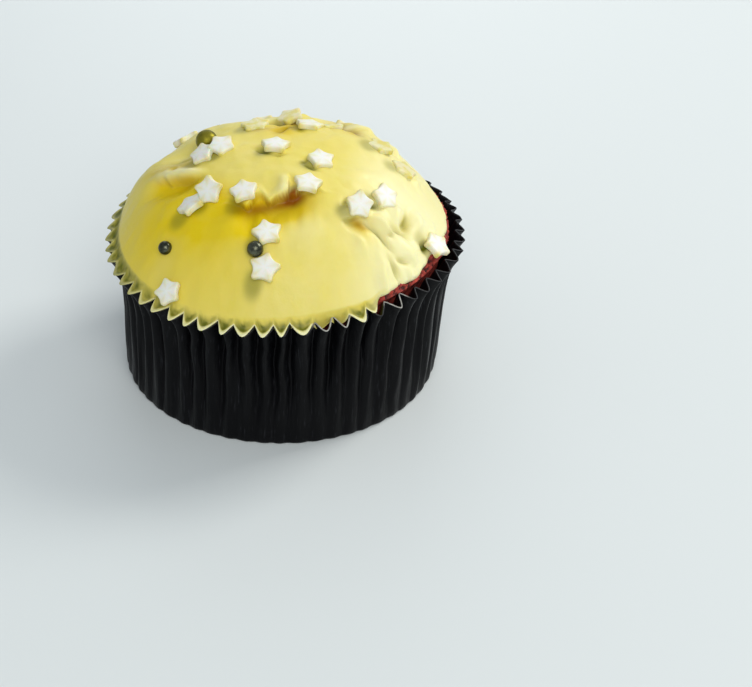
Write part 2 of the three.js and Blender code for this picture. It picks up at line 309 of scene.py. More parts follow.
@dataclass(frozen=True)
class Fold:
    """A lip of icing with a scoop under it.

    Args:
        x: Place in plan of the lip's middle.
        y: Place in plan of the lip's middle.
        downhill: Azimuth that the lip faces, in degrees.
        half_width: Half the lip's length.
        length: How far the scoop runs downhill.
        depth: Depth of the scoop.
        lip: Height of the bead along the lip.
        overhang: How far the lip leans out over its scoop.
        ripple: How uneven the lip's line is.
        drips: Places along the lip and lengths of its drips.
        gold: How golden the scoop's floor is painted, as painted shade under the lip.
    """

    x: float
    y: float
    downhill: float
    half_width: float
    length: float
    depth: float
    lip: float = 0.0
    overhang: float = 0.0
    ripple: float = 0.0
    drips: tuple[tuple[float, float], ...] = ()
    gold: float = 0.0


@dataclass(frozen=True)
class Patch:
    """A painted patch of tint, shade or light, or a ridge or a crease in the icing, elliptical in plan.

    Args:
        x: Place in plan.
        y: Place in plan.
        reach: Reach along its azimuth.
        width: Reach across its azimuth.
        azimuth: Direction of its longer axis, in degrees.
        amount: Strength or height at its middle, below 0 for a crease.
    """

    x: float
    y: float
    reach: float
    width: float
    azimuth: float
    amount: float

    def at(self, x: float, y: float) -> float:
        """Its strength or height at a place in plan."""
        if abs(x - self.x) + abs(y - self.y) > 4 * max(self.reach, self.width):
            return 0.0
        turn = math.radians(self.azimuth)
        along = (x - self.x) * math.cos(turn) + (y - self.y) * math.sin(turn)
        across = (y - self.y) * math.cos(turn) - (x - self.x) * math.sin(turn)
        return self.amount * math.exp(-((along / self.reach) ** 2) - (across / self.width) ** 2)


def patches(*rows: tuple[float, ...]) -> tuple[Patch, ...]:
    """Patches from rows of their numbers: x, y, reach, width, azimuth and amount."""
    return tuple(Patch(*row) for row in rows)


@dataclass(frozen=True)
class Star:
    """Where a sugar star lies.

    Args:
        x: Place in plan.
        y: Place in plan.
        turn: Turn about its own axis, in degrees.
        lean: Lean of that axis from the dome's normal, in degrees.
        towards: Azimuth that it leans towards.
        lift: How far its middle stands off the icing.
        stain: How much of the icing's colour is all over it.
    """

    x: float
    y: float
    turn: float
    lean: float
    towards: float
    lift: float
    stain: float = 0.0


STARS: tuple[Star, ...] = (
    Star(-13.9, -10.6, 6, 32, 262, 1.1), Star(-7.2, -13.1, 24, 8, 90, 0.6),
    Star(-17.6, -11.3, 40, 22, 90, 0.3), Star(-15.3, 0.6, 15, 14, 235, 0.4),
    Star(-11.6, 1.2, 50, 18, 300, 0.7), Star(-2.9, -21.4, 30, 20, 80, 0.5),
    Star(-3.3, -26.4, 2, 12, 90, 0.6), Star(-20.9, -23.5, 20, -14, 228, 1.0),
    Star(-1.4, -0.4, 10, 6, 80, 0.4), Star(7.3, -4.6, 33, 6, 330, 0.35),
    Star(4.7, -12.3, 12, 10, 80, 0.5), Star(14.1, -14.7, 22, 24, 262, 0.8),
    Star(19.1, -10.4, 40, 12, 280, 0.5), Star(28.7, -12.4, 60, -18, 340, 0.9),
    Star(-5.4, 9.6, 20, 6, 270, -0.15, 0.9), Star(1.4, 12.9, 44, 24, 215, 0.2, 0.85),
    Star(5.2, 9.4, 8, 5, 60, 0.35, 0.15), Star(9.6, 12.4, 28, 12, 160, 0.05, 0.9),
    Star(18.6, 5.6, 52, 12, 200, 0.0, 0.95), Star(23.4, 2.4, 16, 8, 180, 0.0, 0.95),
)


class Zone(Enum):
    """The parts of the icing's profile, from the top of the dome round to its lining."""

    FACE = "face"
    EDGE = "edge"
    LINING = "lining"


class NodeTree:
    """A short way to write a tree of shader nodes."""

    def __init__(self, tree: bpy.types.NodeTree) -> None:
        """Keeps the tree that the nodes go into."""
        self.tree = tree

    def node(self, kind: str, inputs: Inputs | None = None, **settings: object) -> bpy.types.Node:
        """Adds a node.

        Args:
            kind: Blender's name of the node.
            inputs: Sockets, numbers or linear colours, by the input's name or number.
            settings: The node's own properties.

        Returns:
            The node.
        """
        made = self.tree.nodes.new(kind)
        for name, value in settings.items():
            setattr(made, name, value)
        for name, value in (inputs or {}).items():
            socket = made.inputs[name]
            if isinstance(value, Socket):
                self.tree.links.new(value, socket)
            else:
                socket.default_value = (*value, 1) if socket.type == "RGBA" else value
        return made

    def blend(self, share: object, first: object, second: object) -> Socket:
        """Mixes two colours, each a socket or a linear colour."""
        return self.node("ShaderNodeMix", {0: share, 6: first, 7: second}, data_type="RGBA").outputs[2]

    def maths(self, operation: str, *values: object, clamp: bool = False) -> Socket:
        """The result of a Math node on sockets or numbers."""
        inputs = dict(enumerate(values))
        return self.node("ShaderNodeMath", inputs, operation=operation, use_clamp=clamp).outputs[0]

    def ramp(self, value: object, low: float, high: float, start: float = 0.0, end: float = 1.0) -> Socket:
        """Maps low to high onto start to end, softly."""
        inputs = {0: value, 1: low, 2: high, 3: start, 4: end}
        return self.node("ShaderNodeMapRange", inputs, interpolation_type="SMOOTHSTEP").outputs[0]

    def attribute(self, name: str) -> Socket:
        """A number that the mesh holds at each of its vertices."""
        return self.node("ShaderNodeAttribute", attribute_name=name).outputs["Fac"]


def shared_group(name: str, stretch: Colour) -> bpy.types.NodeTree:
    """The node group of a fine uneven texture: mottling at one scale over grain at a finer one.

    Args:
        name: The group's name.
        stretch: How much finer the pattern is along each axis.

    Returns:
        A group with inputs Scale and Detail, and outputs Mottle and Grain from 0 to 1.
    """
    if name in bpy.data.node_groups:
        return bpy.data.node_groups[name]
    group = bpy.data.node_groups.new(name, "ShaderNodeTree")
    for socket, way in (("Scale", "INPUT"), ("Detail", "INPUT"), ("Mottle", "OUTPUT"), ("Grain", "OUTPUT")):
        group.interface.new_socket(socket, in_out=way, socket_type="NodeSocketFloat")
    tree = NodeTree(group)
    sockets = tree.node("NodeGroupInput").outputs
    where = tree.node("ShaderNodeTexCoord").outputs["Object"]
    mapped = tree.node("ShaderNodeMapping", {"Vector": where, "Scale": stretch}).outputs[0]
    broad = {"Vector": mapped, "Scale": sockets["Scale"], "Detail": 4.0, "Roughness": 0.55}
    mottle = tree.node("ShaderNodeTexNoise", broad).outputs[0]
    fine_scale = tree.maths("MULTIPLY", sockets["Scale"], sockets["Detail"])
    fine = {"Vector": mapped, "Scale": fine_scale, "Detail": 5.0, "Roughness": 0.62}
    grain = tree.node("ShaderNodeTexNoise", fine).outputs[0]
    tree.node("NodeGroupOutput", {"Mottle": tree.ramp(mottle, 0.32, 0.68), "Grain": grain})
    return group


def shaded(name: str, inputs: Callable[[NodeTree], Inputs]) -> bpy.types.Material:
    """A material with one shader.

    Args:
        name: The material's name.
        inputs: Gives the shader's inputs, as values or as sockets of the material's tree.

    Returns:
        The material.
    """
    material = bpy.data.materials.new(name)
    material.use_nodes = True
    material.node_tree.nodes.clear()
    tree = NodeTree(material.node_tree)
    shader = tree.node("ShaderNodeBsdfPrincipled", inputs(tree))
    tree.node("ShaderNodeOutputMaterial", {"Surface": shader.outputs[0]})
    return material


@dataclass(frozen=True)
class Finish:
    """What every textured finish has.

    Args:
        name: The material's name.
        scale: Scale of the texture's mottling.
        detail: How many times finer its grain is.
        relief: Height of the grain, in millimetres.
        stretch: How much finer the texture is along each axis.
    """

    name: str
    scale: float
    detail: float
    relief: float
    stretch: Colour = (1, 1, 1)

    def look(self, tree: NodeTree, mottle: Socket, grain: Socket) -> Inputs:
        """What each finish says for itself.

        Args:
            tree: The material's tree.
            mottle: The texture's broad pattern.
            grain: The texture's fine pattern.

        Returns:
            The shader's inputs, apart from its normal.
        """
        raise NotImplementedError

    def inputs(self, tree: NodeTree) -> Inputs:
        """Places the shared texture at this finish's own scale.

        Args:
            tree: The material's tree.

        Returns:
            All of the shader's inputs.
        """
        group = shared_group("even_texture" if self.stretch == (1, 1, 1) else "drawn_texture", self.stretch)
        scales = {"Scale": self.scale, "Detail": self.detail}
        texture = tree.node("ShaderNodeGroup", scales, node_tree=group).outputs
        bump = {"Strength": 1.0, "Distance": self.relief * MM, "Height": texture["Grain"]}
        normal = tree.node("ShaderNodeBump", bump).outputs[0]
        return {**self.look(tree, texture["Mottle"], texture["Grain"]), "Normal": normal}

    def build(self) -> bpy.types.Material:
        """The material."""
        return shaded(self.name, self.inputs)


@dataclass(frozen=True)
class IcingFinish(Finish):
    """Poured yellow icing: soft, satin and a little see-through, deeper in colour where it pools, and painted
    with shade and light.
    """

    name: str = "icing_satin"
    scale: float = 160.0
    detail: float = 9.0
    relief: float = 0.045
    # Over the cream: gold is painted shade on the left and in hollows, and partly thicker pooled icing; olive
    # is painted shade in creases, pleats and beside the stars; rust is cake showing through thin icing with
    # painted shade; pale is random tone and painted light on the right and on the lips.
    cream: Colour = srgb(232, 215, 102)
    pale: Colour = srgb(248, 241, 184)
    golden: Colour = srgb(234, 205, 4)
    rust: Colour = srgb(146, 84, 0)
    olive: Colour = srgb(100, 104, 12)

    def look(self, tree: NodeTree, mottle: Socket, grain: Socket) -> Inputs:
        """Its colour with its tints and its painted shade and light, its satin, and the light that passes
        into it.
        """
        body = tree.blend(tree.maths("MULTIPLY", mottle, 0.22), self.cream, self.pale)
        uneven = tree.ramp(mottle, 0.0, 1.0, -0.08, 0.08)
        # Gold paints shade and pooled icing over the body, a little unevenly.
        golden = tree.maths("ADD", tree.attribute("gold"), uneven, clamp=True)
        body = tree.blend(golden, body, self.golden)
        # Olive paints shade, rust paints tint and shade, and pale paints light over the body.
        for name, colour in (("olive", self.olive), ("rust", self.rust), ("pale", self.pale)):
            body = tree.blend(tree.attribute(name), body, colour)
        return {
            "Base Color": body,
            "Roughness": tree.ramp(grain, 0.3, 0.7, 0.34, 0.5),
            "Subsurface Weight": 0.25,
            "Subsurface Radius": (1.0, 0.75, 0.2),
            "Subsurface Scale": 0.0016,
            "Specular IOR Level": 0.28,
        }


@dataclass(frozen=True)
class CakeFinish(Finish):
    """Dark red-brown crumb, with painted shade darkening its pores."""

    name: str = "cake_crumb"
    scale: float = 900.0
    detail: float = 4.0
    relief: float = 0.25
    crumb: Colour = srgb(150, 42, 30)
    crust: Colour = srgb(194, 74, 58)
    # Painted shade in the crumb's pits.
    pore_shade: Colour = srgb(36, 9, 8)

    def look(self, tree: NodeTree, mottle: Socket, grain: Socket) -> Inputs:
        """Its colour, with painted shade in the pits, and its dull crumb."""
        body = tree.blend(tree.attribute("pore_shade"), tree.blend(mottle, self.crumb, self.crust), self.pore_shade)
        return {"Base Color": body, "Roughness": tree.ramp(grain, 0.3, 0.7, 0.5, 0.85)}


@dataclass(frozen=True)
class PaperFinish(Finish):
    """Black coated paper, with faint grey streaks drawn down its pleats, a painted sheen for their
    highlights.
    """

    name: str = "paper_black"
    scale: float = 700.0
    detail: float = 4.0
    relief: float = 0.08
    stretch: Colour = (1, 1, 0.08)
    stained: bool = False
    black: Colour = srgb(3, 3, 5)
    # Grey of the streaks, a painted sheen.
    wear_and_sheen: Colour = srgb(46, 47, 51)
    coated: Colour = srgb(96, 100, 30)

    def look(self, tree: NodeTree, mottle: Socket, grain: Socket) -> Inputs:
        """Its colour with the painted sheen of its grey streaks and, where stained, the icing's coat, and its
        low gloss.
        """
        # Grey streaks drawn down the paper, painting sheen.
        painted_sheen = tree.maths("MULTIPLY", tree.ramp(grain, 0.56, 0.74), 0.6)
        body = tree.blend(painted_sheen, self.black, self.wear_and_sheen)
        if self.stained:
            body = tree.blend(tree.attribute("coated"), body, self.coated)
        roughness = tree.ramp(mottle, 0.0, 1.0, 0.34, 0.56)
        return {"Base Color": body, "Roughness": roughness, "Specular IOR Level": 0.11}


@dataclass(frozen=True)
class CutEdgeFinish(Finish):
    """The undyed core of the paper, which shows along its cut edge."""

    name: str = "paper_cut_edge"
    scale: float = 900.0
    detail: float = 3.0
    relief: float = 0.05
    core: Colour = srgb(176, 174, 166)
    dyed: Colour = srgb(26, 26, 28)

    def look(self, tree: NodeTree, mottle: Socket, grain: Socket) -> Inputs:
        """Its core where it is rubbed bare, and its dye elsewhere."""
        bare = tree.maths("MULTIPLY", tree.attribute("wear_and_sheen"), tree.ramp(mottle, 0, 1, 0.55, 1.0))
        return {"Base Color": tree.blend(bare, self.dyed, self.core), "Roughness": 0.6}


@dataclass(frozen=True)
class SugarFinish(Finish):
    """Pressed white sugar, with creamier rims where the icing has stained it."""

    name: str = "sugar_white"
    scale: float = 500.0
    detail: float = 6.0
    relief: float = 0.03
    white: Colour = srgb(243, 243, 237)
    cream: Colour = srgb(222, 208, 92)

    def look(self, tree: NodeTree, mottle: Socket, grain: Socket) -> Inputs:
        """Its colour with the stain along its rim, and the light that passes into it."""
        stain = tree.maths("MULTIPLY", tree.attribute("rim"), tree.ramp(mottle, 0, 1, 0.6, 1.0))
        return {
            "Base Color": tree.blend(stain, self.white, self.cream),
            "Roughness": 0.48,
            "Subsurface Weight": 0.2,
            "Subsurface Scale": 0.001,
        }


@dataclass(frozen=True)
class PearlFinish(Finish):
    """A sugar pearl's metallic coat, dulled in patches."""

    name: str = "pearl_silver"
    scale: float = 450.0
    detail: float = 5.0
    relief: float = 0.02
    roughness: float = 0.2
    bright: Colour = srgb(104, 106, 90)
    dull: Colour = srgb(30, 33, 24)

    def look(self, tree: NodeTree, mottle: Socket, grain: Socket) -> Inputs:
        """Its metal, bright and dull in patches."""
        body = tree.blend(mottle, self.bright, self.dull)
        roughness = tree.ramp(grain, 0.3, 0.7, self.roughness, self.roughness + 0.2)
        return {"Base Color": body, "Metallic": 1.0, "Roughness": roughness}


def wrapped(
    columns: list[Column], rows: int, names: tuple[str, ...], place: Callable[[Column, int], Placed]
) -> bmesh.types.BMesh:
    """Rolls a grid of quads round the axis and closes its seam and poles.

    Args:
        columns: The columns all round, the first repeated at the end.
        rows: Quads along the profile.
        names: Names of the numbers kept at each vertex.
        place: Gives a vertex's point, in millimetres, and its numbers, from its column and row.

    Returns:
        The mesh, in metres.
    """
    quads = len(columns) - 1
    bm = bmesh.new()
    bmesh.ops.create_grid(bm, x_segments=quads, y_segments=rows, size=0.5)
    layers = [bm.verts.layers.float.new(name) for name in names]
    for vertex in bm.verts:
        line = columns[round((vertex.co.x + 0.5) * quads)]
        point, numbers = place(line, round((vertex.co.y + 0.5) * rows))
        vertex.co = point * MM
        for layer, number in zip(layers, numbers):
            vertex[layer] = number
    bmesh.ops.remove_doubles(bm, verts=bm.verts, dist=1e-7)
    bmesh.ops.recalc_face_normals(bm, faces=bm.faces)
    return bm


def added(name: str, data: bpy.types.ID) -> bpy.types.Object:
    """A new object in the scene, at the origin."""
    made = bpy.data.objects.new(name, data)
    bpy.context.scene.collection.objects.link(made)
    return made


def piece_from(bm: bmesh.types.BMesh, name: str, materials: list[bpy.types.Material]) -> bpy.types.Object:
    """Makes a smooth-shaded piece of a mesh, at the origin and riding on the body.

    Args:
        bm: The mesh, in metres, which is freed.
        name: The piece's name.
        materials: Its material slots.

    Returns:
        The piece.
    """
    mesh = bpy.data.meshes.new(name)
    for face in bm.faces:
        face.smooth = True
    bm.to_mesh(mesh)
    bm.free()
    for material in materials:
        mesh.materials.append(material)
    piece = added(name, mesh)
    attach(piece, "root")
    LOG.info("%s: %d vertices", name, len(mesh.vertices))
    return piece


@dataclass
class PaperCase:
    """The pleated case: one thin sheet of paper with a flat base and a fluted wall."""

    form: Form
    thickness: float = 0.26
    per_pleat: int = 16
    floor_rows: tuple[float, ...] = (0.0, 0.5, 0.9, 0.985)
    wall_rows: tuple[float, ...] = (
        0.006, 0.02, 0.05, 0.1, 0.17, 0.25, 0.33, 0.41, 0.49, 0.57, 0.64, 0.7, 0.75, 0.8,
        0.84, 0.875, 0.905, 0.93, 0.95, 0.967, 0.98, 0.99, 1.0,
    )
    crinkle: float = 0.24
    wander: float = 0.022
    corner: float = 0.25

    def place(self, line: Column, row: int) -> Placed:
        """A vertex of the sheet's outer face.

        Args:
            line: Its column.
            row: Row from the middle of the base to the cut edge.

        Returns:
            Its point, how much of the icing's stain is on it, and how bare its cut edge is.
        """
        form = self.form
        if row < len(self.floor_rows):
            radius = self.floor_rows[row] * (form.wall_radius(0, line) - self.corner)
            return form.on_case(0, radius, line.azimuth, 0.0), (0.0, 0.0)
        share = self.wall_rows[row - len(self.floor_rows)]
        radius = form.wall_radius(share, line) - self.corner * (1 - smooth(0, 0.03, share))
        height = share * line.rim - form.crest_drop * share**2 * (1 - line.fold)
        ring = Vector((math.cos(line.azimuth), math.sin(line.azimuth), 0))
        crumple = swell(ring.x * 30, ring.y * 30, height * 0.07)
        crumple += 0.4 * swell(ring.x * 64, ring.y * 64, height * 0.12)
        radius += self.crinkle * crumple * smooth(0.02, 0.2, share)
        drift = swell(ring.x * 7, ring.y * 7, height * 0.13) * smooth(0.0, 0.2, share)
        azimuth = line.azimuth + self.wander * drift * (1 - smooth(0.7, 0.93, share))
        stain = smooth(0.8, 1.0, share) * (1 - line.bare) * 0.9 * smooth(0.0, 0.5, line.flow)
        return form.on_case(share, radius, azimuth, height), (stain, form.worn_share(line.azimuth))

    def build(self) -> bpy.types.Object:
        """Builds the case.

        Returns:
            The piece, which stands for the solid case.
        """
        rows = len(self.floor_rows) + len(self.wall_rows) - 1
        bm = wrapped(self.form.columns(self.per_pleat), rows, ("coated", "wear_and_sheen"), self.place)
        if min(bm.faces, key=lambda face: face.calc_center_median().z).normal.z > 0:
            bmesh.ops.reverse_faces(bm, faces=bm.faces)
        piece = piece_from(bm, "pleated_case", self.dress())
        solid = piece.modifiers.new("paper", "SOLIDIFY")
        solid.thickness = self.thickness * MM
        solid.offset = -1.0
        solid.use_rim = True
        solid.material_offset = 1
        solid.material_offset_rim = 2
        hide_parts("paper_case")
        return piece

    def dress(self) -> list[bpy.types.Material]:
        """The paper's outside, its inside and its cut edge."""
        inside = PaperFinish(name="paper_inside", stained=True)
        return [PaperFinish().build(), inside.build(), CutEdgeFinish().build()]


@dataclass
class Cake:
    """The cake, whose crumb shows between the icing and the case on one side."""

    form: Form
    per_pleat: int = 12
    floor: float = 0.9
    side_rows: tuple[float, ...] = (0.07, 0.3, 0.55, 0.74, 0.86, 0.92, 0.95, 0.98)
    crust_rows: int = 40
    crust_from: float = 0.7
    cap_rows: int = 6
    crumb: float = 1.05
    under_icing: float = 0.45
    side_gaps: tuple[float, float] = (0.75, 0.6)

    def place(self, line: Column, row: int) -> Placed:
        """A vertex of the cake.

        Args:
            line: Its column.
            row: Row from the middle of the base, up the side and over the crust.

        Returns:
            Its point, and how much painted shade its pit gets.
        """
        form = self.form
        if row < 2:
            radius = row * (self.side_radius(0, line) - 0.5)
            return form.on_case(0, radius, line.azimuth, self.floor), (0.0,)
        row -= 2
        if row < len(self.side_rows):
            share = self.side_rows[row]
            point = form.on_case(share, self.side_radius(share, line), line.azimuth, share * line.rim)
            return self.crumbled(point, line, smooth(0.8, 1, share))
        row -= len(self.side_rows)
        if row <= self.crust_rows:
            share = mix(1.0, self.crust_from, row / self.crust_rows)
        else:
            share = self.crust_from * (1 - (row - self.crust_rows) / self.cap_rows)
        open_share = line.bare * smooth(0.76, 0.86, share)
        sink = mix(form.icing_thickness(share) + self.under_icing, form.gap, open_share)
        radius, height = form.section(share, line.rim)
        out, up = form.normal(share, line.rim)
        radius = max(0.0, radius - sink * out)
        height = max(line.rim + 0.2, height - sink * up)
        return self.crumbled(form.place(radius, line.azimuth, height), line, smooth(0.7, 0.8, share))

    def side_radius(self, share: float, line: Column) -> float:
        """Radius of the cake's side, inside the case's folds."""
        form = self.form
        depth = mix(form.depth_at_base, form.depth_at_rim, share)
        return form.crest_radius(share) - depth + line.oval * share - mix(*self.side_gaps, share)

    def crumbled(self, point: Vector, line: Column, share: float) -> Placed:
        """Roughens a point of the crust into crumbs and pores.

        Args:
            point: The point on the smooth crust.
            line: Its column.
            share: How much of the roughness it gets.

        Returns:
            The point, and how much painted shade its pit gets.
        """
        coarse = noise.noise(point * 1.1)
        fine = noise.noise(point * 2.7 + Vector((7, 1, 4)))
        cells = noise.voronoi(point * 1.15)[0][0]
        rough = 0.5 * coarse + 0.35 * fine + 0.7 * (0.45 - cells)
        out = Vector((math.cos(line.azimuth), math.sin(line.azimuth), 0.8)).normalized()
        # The pits that the roughness pushes in get painted shade.
        pore_shade = 1 - smooth(-0.3, 0.06, rough)
        return point + out * (self.crumb * share * rough), (pore_shade * share,)

    def build(self) -> bpy.types.Object:
        """Builds the cake.

        Returns:
            The piece, which stands for the solid cake.
        """
        rows = 1 + len(self.side_rows) + self.crust_rows + 1 + self.cap_rows
        bm = wrapped(self.form.columns(self.per_pleat), rows, ("pore_shade",), self.place)
        piece = piece_from(bm, "crumb", [CakeFinish().build()])
        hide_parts("cake")
        return piece


@dataclass
class Icing:
    """The poured icing: a folded sheet over the dome that runs out into the pleats as teeth."""

    form: Form
    per_pleat: int = 10
    face_rows: int = 138
    edge_rows: int = 15
    lining_rows: int = 9
    crowding: float = 0.06
    crowded_share: float = 0.36
    foot: float = 0.86
    even_share: float = 0.75
    least: float = 0.7
    warp: float = 0.9
    crease_height: float = 1.35
    # The painted olive shadow beside each star: its strength, its offset to the front left and its reach.
    shadow: float = 0.55
    shadow_x: float = 2.2
    shadow_y: float = 1.6
    shadow_reach: float = 1.9
    roll_from: float = 0.68
    roll_span: float = 0.32
    roll_radius: float = 0.12
    folds: tuple[Fold, ...] = (
        Fold(
            -1.6, -13.4, 274, 7.8, 5.6, 2.5,
            lip=0.22, overhang=0.3, ripple=1.5, drips=((-1.1, 1.5), (-5.2, 1.2)), gold=1.0,
        ),
        Fold(
            -20.4, -2.0, 230, 5.6, 3.8, 2.0,
            lip=0.95, overhang=0.5, ripple=0.6, drips=((-2.0, 0.7),), gold=0.9,
        ),
        Fold(-12.6, -10.6, 238, 6.0, 8.5, 0.9),
        Fold(13.9, -16.2, 300, 2.8, 2.6, 1.1, lip=0.25, overhang=0.7, ripple=0.3),
        Fold(10.6, 12.2, 256, 5.0, 2.8, 1.1, lip=0.5, overhang=0.9, ripple=0.5),
        Fold(-1.0, 12.8, 262, 4.0, 2.2, 0.8, lip=0.4, overhang=0.6, ripple=0.5),
        Fold(0.9, -12.4, 355, 2.2, 1.6, 1.1, lip=0.45, overhang=0.4),
    )
    lumps: tuple[Lump, ...] = (
        Lump(20.4, -13.2, 2.4, 0.9), Lump(24.0, -17.6, 2.7, 1.0), Lump(26.8, -10.6, 2.2, 0.7),
        Lump(17.0, -19.6, 3.0, 0.4), Lump(21.6, -21.6, 2.0, 0.6), Lump(16.0, 9.0, 7.0, 1.2),
        Lump(2.0, -11.4, 4.2, 0.6), Lump(-19.2, 7.0, 3.4, -1.5), Lump(-26.0, 8.0, 5.0, 1.2),
        Lump(-16.0, 19.0, 6.0, 0.7), Lump(8.0, 25.5, 4.0, 0.6), Lump(-6.0, 21.0, 4.5, -0.7),
    )
    creases: tuple[Patch, ...] = patches(
        (18.3, -15.9, 2.6, 0.8, -18, 0.8), (18.6, -18.2, 2.5, 0.65, -28, -0.85),
        (23.4, -12.6, 2.4, 0.75, 80, -0.9), (25.2, -11.4, 2.6, 0.8, 78, 0.6),
        (21.6, -11.9, 2.0, 0.7, 74, 0.5), (21.0, -21.6, 1.6, 0.55, -50, -0.75),
        (27.2, -14.0, 2.0, 0.55, 62, -0.7), (18.9, -24.4, 2.3, 0.9, -78, 0.7),
        (21.9, -15.4, 1.8, 0.5, -12, -0.6), (14.6, -21.0, 2.2, 0.8, -40, 0.4),
        (28.6, -9.4, 1.8, 0.6, 100, 0.5), (24.6, -21.2, 1.5, 0.6, -30, 0.5),
        (11.2, 14.2, 3.8, 0.8, -62, -0.8), (13.4, 14.6, 3.6, 0.9, -62, 0.6),
        (-5.6, 8.4, 1.8, 0.5, 10, -0.5), (4.0, 15.8, 2.2, 0.8, 70, 0.6), (-0.4, 11.0, 2.6, 0.9, -20, -0.7),
        (19.6, 8.4, 1.7, 0.6, -50, -0.8), (21.6, 9.0, 2.2, 0.9, -60, 0.7), (25.2, 5.0, 1.5, 0.5, -75, -0.7),
        (26.0, 1.6, 2.2, 0.8, -80, 0.5), (16.4, 11.6, 2.4, 1.0, -50, 0.6),
        (12.0, -14.2, 1.0, 0.5, 60, -0.6), (20.4, -16.9, 0.9, 0.5, 20, -0.6),
        (5.2, -7.0, 1.6, 0.5, -30, -0.35), (-3.7, -1.9, 1.3, 0.5, -40, -0.55),
        (22.6, -19.9, 1.3, 0.5, 10, -0.6), (17.2, -13.0, 1.2, 0.5, 30, -0.5),
        (-21.6, 1.6, 4.6, 0.7, -40, 0.4), (-19.6, 3.6, 4.4, 0.6, -36, -0.35),
        (0.2, 7.2, 1.9, 0.7, 40, -0.6), (13.0, 9.4, 2.8, 0.7, -50, -0.6), (-0.3, -3.1, 1.2, 0.45, 8, -0.45),
        (4.3, -4.6, 1.3, 0.45, 50, -0.5),
    )
    crinkles: tuple[Lump, ...] = (
        Lump(21.5, -15.5, 7.5, 0.9, 4), Lump(1.0, 13.5, 6.5, 0.7, 4),
        Lump(13.0, 14.0, 7.0, 0.8, 4), Lump(22.0, 4.0, 6.0, 0.5, 4),
    )
    # Gold: painted shade on the shaded left and in hollows, and partly thicker pooled icing.
    golds: tuple[Patch, ...] = patches(
        (-12.4, -15.6, 8.0, 4.9, -32, 1.05), (-2.8, -17.7, 6.8, 2.5, 0, 0.9),
        (-19.4, -6.2, 4.2, 2.4, -41, 0.9), (-24.5, -11.0, 13.0, 9.0, 120, 0.82),
        (-12.0, -25.0, 9.0, 7.0, -20, 0.35), (14.6, -17.9, 2.6, 1.4, -40, 0.9),
        (23.4, -12.8, 2.2, 0.8, 80, 0.7), (11.4, 9.6, 4.6, 1.9, -34, 0.75), (0.8, 7.6, 3.6, 3.0, 30, 0.9),
        (-5.2, 9.4, 2.2, 1.4, 0, 0.4), (-21.0, 1.4, 5.0, 2.0, -41, 0.3), (2.0, 2.0, 16.0, 9.0, 0, 0.2),
    )
    # Rust under the lips: cake showing through thin icing, with painted shade.
    rusts: tuple[Patch, ...] = patches(
        (2.2, -13.9, 2.3, 1.1, 10, 1.1), (-0.6, -15.4, 4.6, 1.3, 4, 0.65),
        (-6.4, -15.8, 3.2, 1.7, -10, 0.6), (0.6, -17.2, 5.5, 1.8, 0, 0.15),
        (-18.6, -4.4, 3.4, 1.6, -41, 0.3), (0.8, 10.2, 2.4, 1.6, 0, 0.8), (11.2, 11.6, 3.4, 1.4, -42, 0.8),
        (14.8, -17.6, 2.1, 1.3, -40, 0.6),
    )
    # Brown-gold painted shade in hollows and round the stars sunk in the top.
    tans: tuple[Patch, ...] = patches(
        (-21.6, 2.2, 6.0, 2.6, -41, 0.2), (11.4, 13.4, 3.2, 0.7, -62, 0.5), (0.4, 7.6, 2.8, 1.9, 50, 0.35),
        (-4.4, 7.4, 2.2, 1.1, 0, 0.45), (3.4, 11.0, 1.6, 1.3, 0, 0.4), (12.8, 9.8, 3.6, 1.7, -50, 0.55),
        (9.2, 15.4, 2.8, 1.2, -40, 0.5),
    )
    # Patches painted paler, low on the front.
    pales: tuple[Patch, ...] = patches(
        (4.2, -20.2, 5.0, 3.0, 0, 0.35), (-22.0, -17.5, 3.6, 2.4, 60, 0.2),
    )
    shadowing_stars: tuple[Star, ...] = STARS

    def scoop(self, fold: Fold, x: float, y: float) -> tuple[float, float, float, float]:
        """The depth, the lean, the bead and the floor of one fold at a place in plan.

        Args:
            fold: The fold.
            x: Place in plan.
            y: Place in plan.

        Returns:
            The height it adds, how far it pushes the icing downhill, 1 on the bead of its lip, and 1 on
            its floor.
        """
        turn = math.radians(fold.downhill)
        dx, dy = x - fold.x, y - fold.y
        if dx * dx + dy * dy > (fold.half_width * 1.6 + fold.length * 2.2) ** 2:
            return 0.0, 0.0, 0.0, 0.0
        along = dx * math.cos(turn) + dy * math.sin(turn)
        across = -dx * math.sin(turn) + dy * math.cos(turn)
        side = bell(across, 0, fold.half_width, 4)
        sharp = 0.28 if fold.overhang else 0.7
        if fold.ripple:
            along += fold.ripple * swell(across * 0.42, fold.x, fold.y)
            for place, length in fold.drips:
                along -= length * bell(across, place, 1.05)
        floor = smooth(-sharp, sharp, along) * side * bell(max(0.0, along), 0, fold.length, 3)
        bead = bell(along, -0.9, 0.8) * side
        lean = fold.overhang * bell(along, -0.35, 0.75) * side
        return fold.lip * bead - fold.depth * floor, lean, bead, floor

